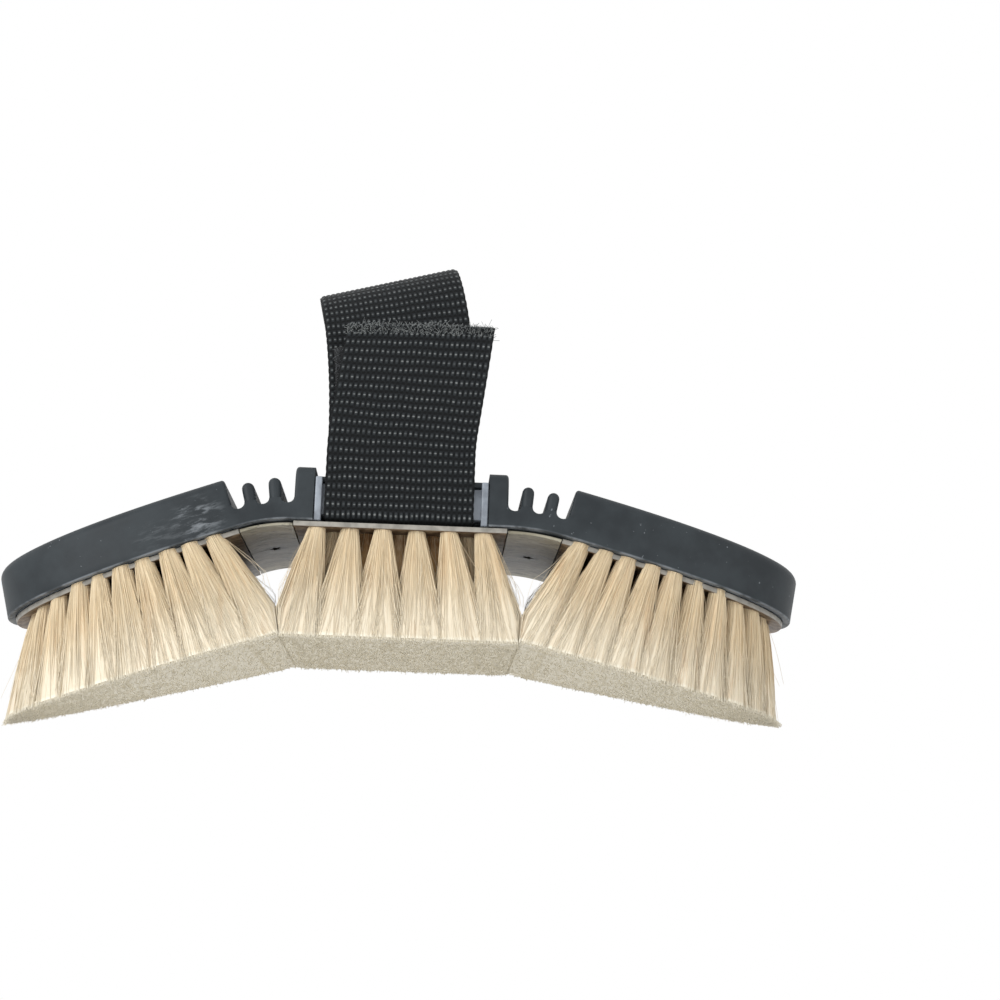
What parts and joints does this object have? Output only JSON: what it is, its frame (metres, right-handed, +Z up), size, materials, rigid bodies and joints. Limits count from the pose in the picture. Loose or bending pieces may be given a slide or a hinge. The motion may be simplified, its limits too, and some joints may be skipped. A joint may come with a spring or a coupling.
{
  "type": "grooming brush",
  "caption": "Flexible palm grooming brush: goat hair blocks on a rubber body with comb hinges, and a webbing hand strap with a hook-and-loop tab.",
  "frame": {"origin": "on the floor under the middle of the brush, at the level of the lowest bristle tips", "axes": "+X along the brush toward the wing on the right of the picture, +Y from the side with the strap's tab to the far side, +Z up"},
  "size_m": [0.2159, 0.0684, 0.1278],
  "materials": {
    "rubber": "soft matte grip rubber, dark grey",
    "plastic": "satin, milky translucent light grey",
    "hinge_skin": "thin, translucent, streaky brown grey",
    "hair": "cream goat hair with tan roots",
    "webbing": "coarse woven black nylon",
    "hook": "black hook tape",
    "loop": "black loop pile tape"
  },
  "bodies": {
    "center": {"center_cover": "rubber", "center_base": "plastic", "center_bristles": "hair", "strap_underpass": "webbing"},
    "left_wing": {"left_cover": "rubber", "left_base": "plastic", "left_bristles": "hair", "left_bellows": "rubber", "left_web": "hinge_skin"},
    "right_wing": {"right_cover": "rubber", "right_base": "plastic", "right_bristles": "hair", "right_bellows": "rubber", "right_web": "hinge_skin"},
    "near_tab": {"strap_near_tab": "webbing", "strap_hook_patch": "hook"},
    "far_band": {"strap_far_band": "webbing", "strap_loop_patch": "loop"}
  },
  "joints": [
    {"name": "left_wing_flex", "type": "hinge", "parent": "center", "child": "left_wing", "pos_m": [-0.03508, 0, 0.05342], "axis": [0, 1, 0], "range_deg": [0, 29.8], "stiffness_Nm_per_rad": 0.9, "deforming": ["left_bellows", "left_web"]},
    {"name": "right_wing_flex", "type": "hinge", "parent": "center", "child": "right_wing", "pos_m": [0.03537, 0, 0.0508], "axis": [0, -1, 0], "range_deg": [0, 24.4], "stiffness_Nm_per_rad": 0.9, "deforming": ["right_bellows", "right_web"]},
    {"name": "near_tab_peel", "type": "hinge", "parent": "center", "child": "near_tab", "pos_m": [0.00061, -0.0327, 0.0646], "axis": [0.9993, 0, -0.0371], "range_deg": [0, 100]},
    {"name": "far_band_fold", "type": "hinge", "parent": "center", "child": "far_band", "pos_m": [0.00061, 0.0327, 0.0646], "axis": [-0.9993, 0, 0.0371], "range_deg": [0, 60]}
  ]
}
